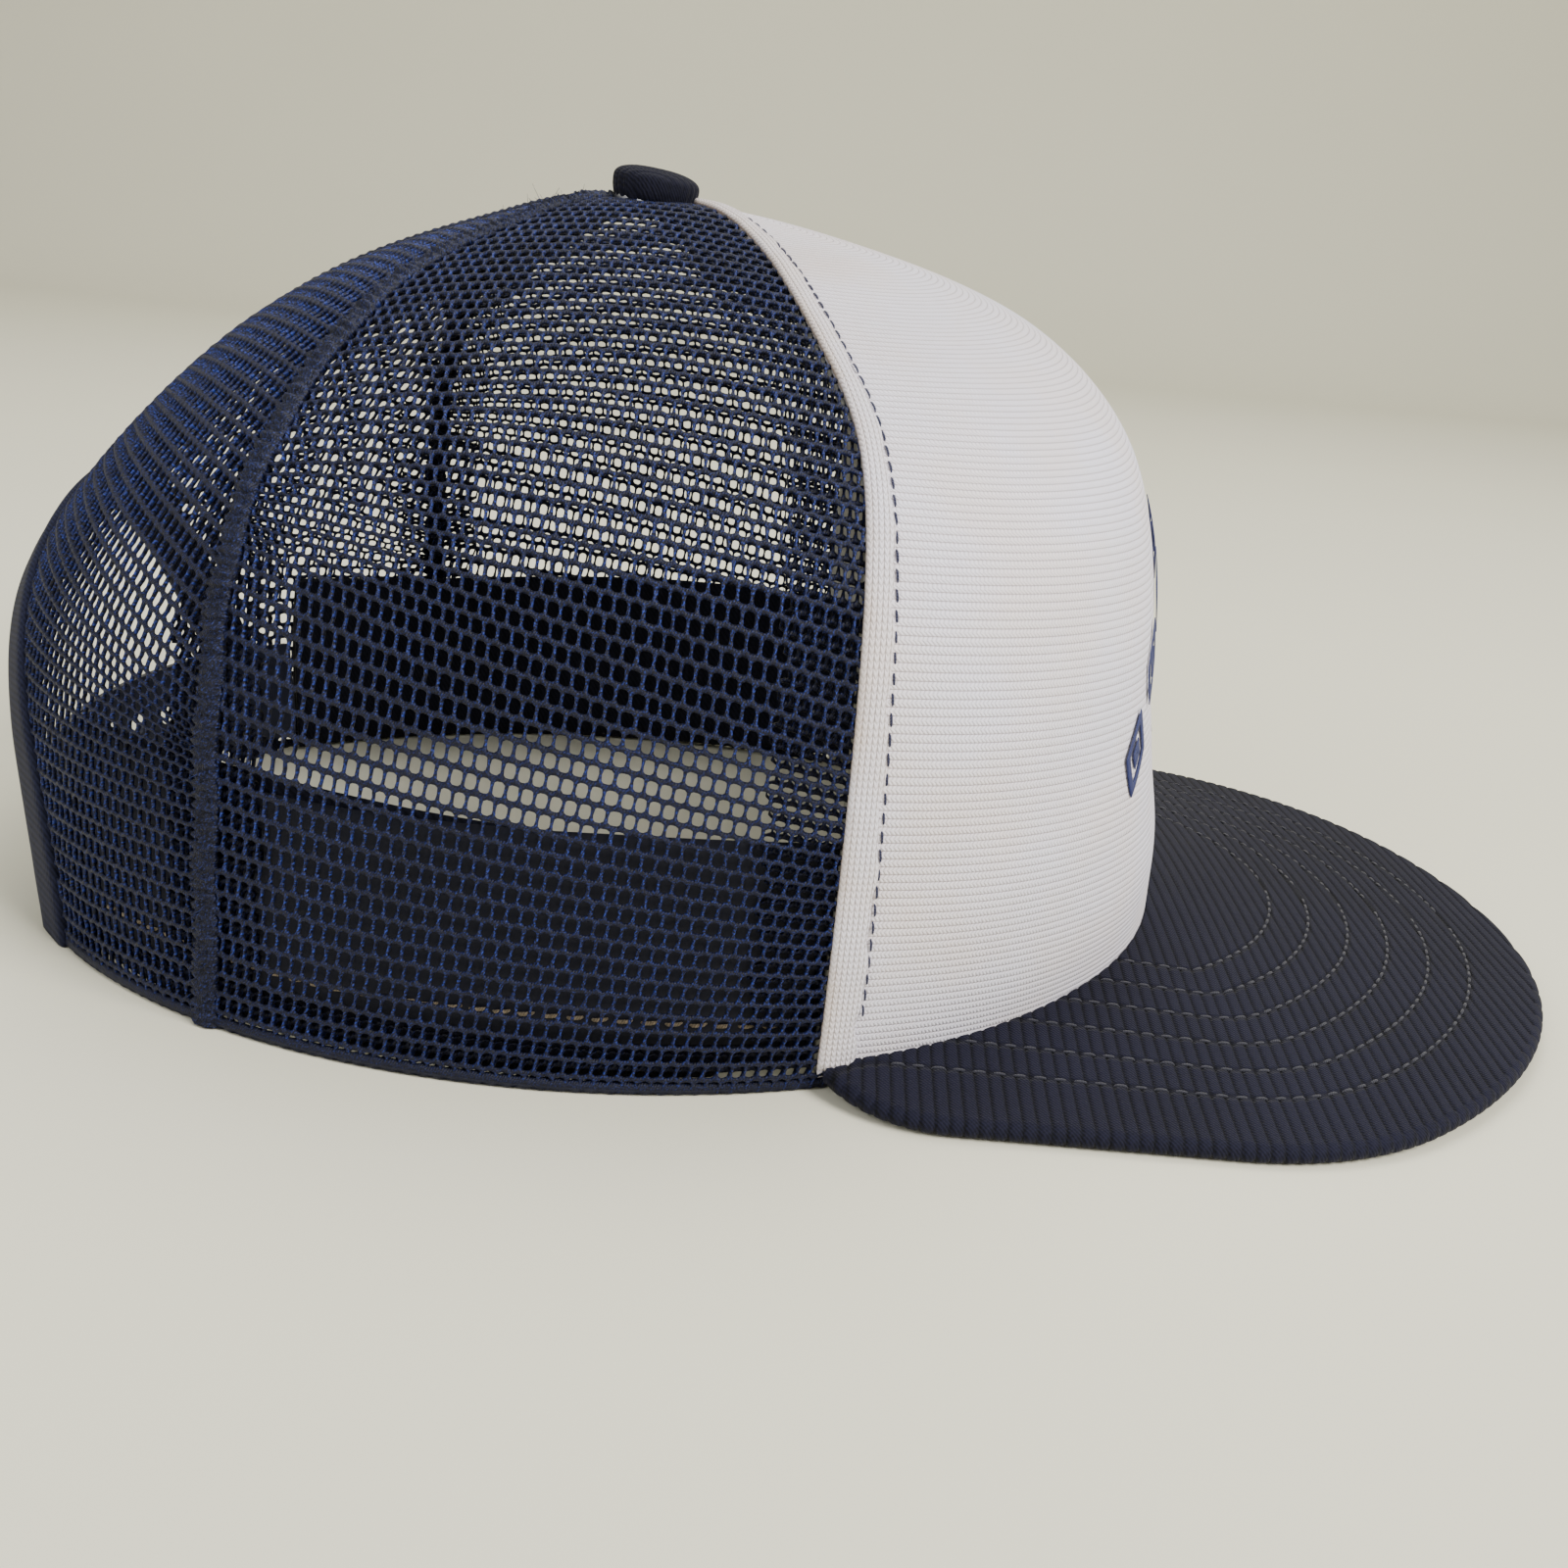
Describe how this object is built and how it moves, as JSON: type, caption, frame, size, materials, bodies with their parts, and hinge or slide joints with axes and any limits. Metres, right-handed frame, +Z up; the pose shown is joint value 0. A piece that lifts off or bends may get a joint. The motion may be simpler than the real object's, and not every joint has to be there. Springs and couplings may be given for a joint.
{
  "type": "trucker mesh cap",
  "caption": "Trucker cap with a foam-backed front panel, mesh side and rear panels, a stitched curved visor, a covered button and an open back closed by two snap straps.",
  "frame": {"origin": "centre of the head opening, on the plane of the rim", "axes": "+X forward to the visor, +Y to the wearer's left, +Z up to the button; the cap lies on its rim and visor edge at z = 0"},
  "size_m": [0.266, 0.179, 0.124],
  "materials": {
    "front_cloth": "knitted polyester face, satin",
    "front_foam": "thin foam backing",
    "net": "coarse knitted polyester net, slight sheen",
    "edge_cloth": "folded face cloth",
    "seam_tape": "woven tape",
    "seam_ridge": "brushed overlock seam",
    "rim_fold": "folded net and tape",
    "opening_binding": "woven binding",
    "sweatband_cloth": "twill cotton",
    "lining_cloth": "nonwoven",
    "navy_thread": "twisted thread",
    "tan_thread": "twisted thread",
    "visor_thread": "twisted thread",
    "visor_cloth": "corded cotton",
    "board_plastic": "moulded sheet",
    "button_cloth": "corded cotton",
    "button_metal": "plain",
    "strap_plastic": "moulded polyethylene, satin",
    "emblem_print": "flat screen print"
  },
  "bodies": {
    "cap": {"front_panel": "front_cloth", "front_backing": "front_foam", "side_mesh_right": "net", "side_mesh_left": "net", "rear_mesh_right": "net", "rear_mesh_left": "net", "front_edge_strip_right": "edge_cloth", "front_edge_strip_left": "edge_cloth", "front_seam_tape_right": "seam_tape", "front_seam_tape_left": "seam_tape", "rear_seam_tape_right": "seam_tape", "rear_seam_tape_left": "seam_tape", "back_seam_tape": "seam_tape", "rear_seam_ridge_right": "seam_ridge", "rear_seam_ridge_left": "seam_ridge", "rim_hem": "rim_fold", "arch_binding": "opening_binding", "sweatband": "sweatband_cloth", "sweatband_lining": "lining_cloth", "front_topstitching": "navy_thread", "rim_stitching": "tan_thread", "visor_stitching": "visor_thread", "strap_stitching": "tan_thread", "visor_cover": "visor_cloth", "visor_underside": "visor_cloth", "visor_board": "board_plastic", "button_cover": "button_cloth", "button_core": "button_metal", "button_rivet": "button_metal", "button_washer": "button_metal", "hole_strap_tab": "strap_plastic", "post_strap_tab": "strap_plastic", "front_emblem": "emblem_print"},
    "hole_strap": {"hole_strap": "strap_plastic"},
    "post_strap": {"post_strap": "strap_plastic"}
  },
  "joints": [
    {"name": "hole_strap_swing", "type": "hinge", "parent": "cap", "child": "hole_strap", "pos_m": [-0.08758, 0.036, 0.014], "axis": [0, 0, -1], "range_deg": [0, 85], "stiffness_Nm_per_rad": 0.001},
    {"name": "post_strap_swing", "type": "hinge", "parent": "cap", "child": "post_strap", "pos_m": [-0.08488, -0.036, 0.014], "axis": [0, 0, -1], "range_deg": [0, 50], "stiffness_Nm_per_rad": 0.001}
  ]
}
